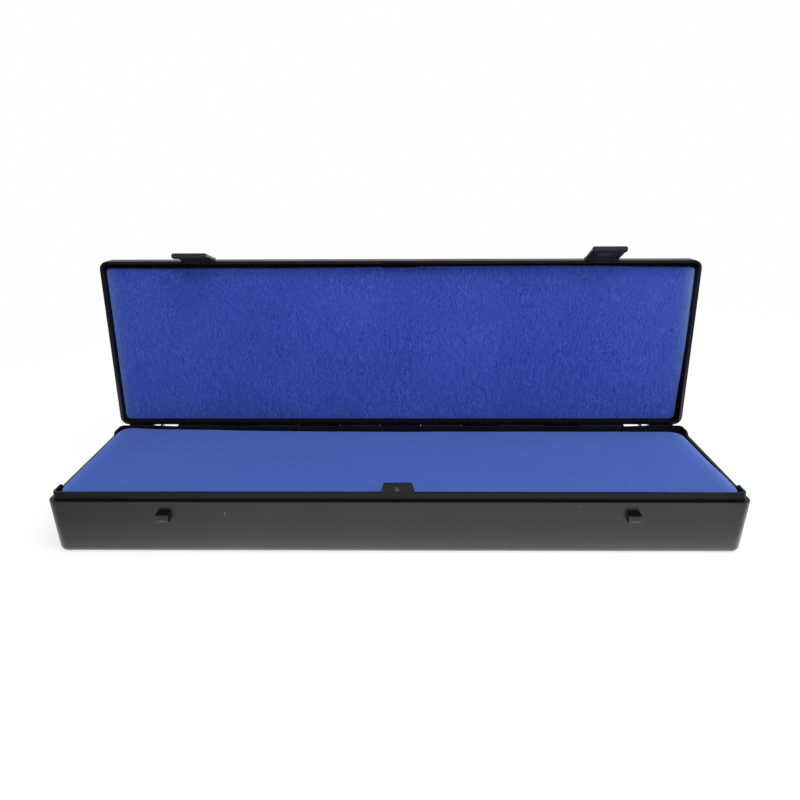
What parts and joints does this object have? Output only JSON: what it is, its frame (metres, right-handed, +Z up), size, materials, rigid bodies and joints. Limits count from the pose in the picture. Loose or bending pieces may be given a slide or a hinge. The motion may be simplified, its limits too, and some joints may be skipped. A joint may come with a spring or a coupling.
{
  "type": "micrometer case",
  "caption": "Long moulded instrument case with a hinged lid, foam pads in tray and lid, and swing latches that catch on hooks at the front.",
  "frame": {"origin": "centre of the tray's flat underside", "axes": "+X along the case to the right, seen from the front, +Y to the hinge at the back, +Z up"},
  "size_m": [0.42, 0.1469, 0.1721],
  "materials": {
    "moulded_plastic": "black moulded ABS, lightly polished",
    "latch_plastic": "black moulded acetal, smooth",
    "blue_foam": "open-cell polyurethane foam, dull",
    "adhesive_film": "double-sided adhesive film",
    "pin_steel": "drawn steel wire"
  },
  "bodies": {
    "tray": {"base_tray": "moulded_plastic", "base_foam": "blue_foam", "base_foam_adhesive": "adhesive_film", "hinge_pin": "pin_steel"},
    "lid": {"lid_shell": "moulded_plastic", "lid_foam": "blue_foam", "lid_foam_adhesive": "adhesive_film", "latch_pin_left": "pin_steel", "latch_pin_right": "pin_steel"},
    "left_latch": {"latch_left": "latch_plastic"},
    "right_latch": {"latch_right": "latch_plastic"}
  },
  "joints": [
    {"name": "lid_hinge", "type": "hinge", "parent": "tray", "child": "lid", "pos_m": [0, 0.0655, 0.0332], "axis": [1, 0, 0], "range_deg": [0, 87.5]},
    {"name": "left_latch_pivot", "type": "hinge", "parent": "lid", "child": "left_latch", "pos_m": [-0.1403, 0.06383, 0.16085], "axis": [1, 0, 0], "range_deg": [-100, 10]},
    {"name": "right_latch_pivot", "type": "hinge", "parent": "lid", "child": "right_latch", "pos_m": [0.1403, 0.06383, 0.16085], "axis": [1, 0, 0], "range_deg": [-90.5, 19.5]}
  ]
}
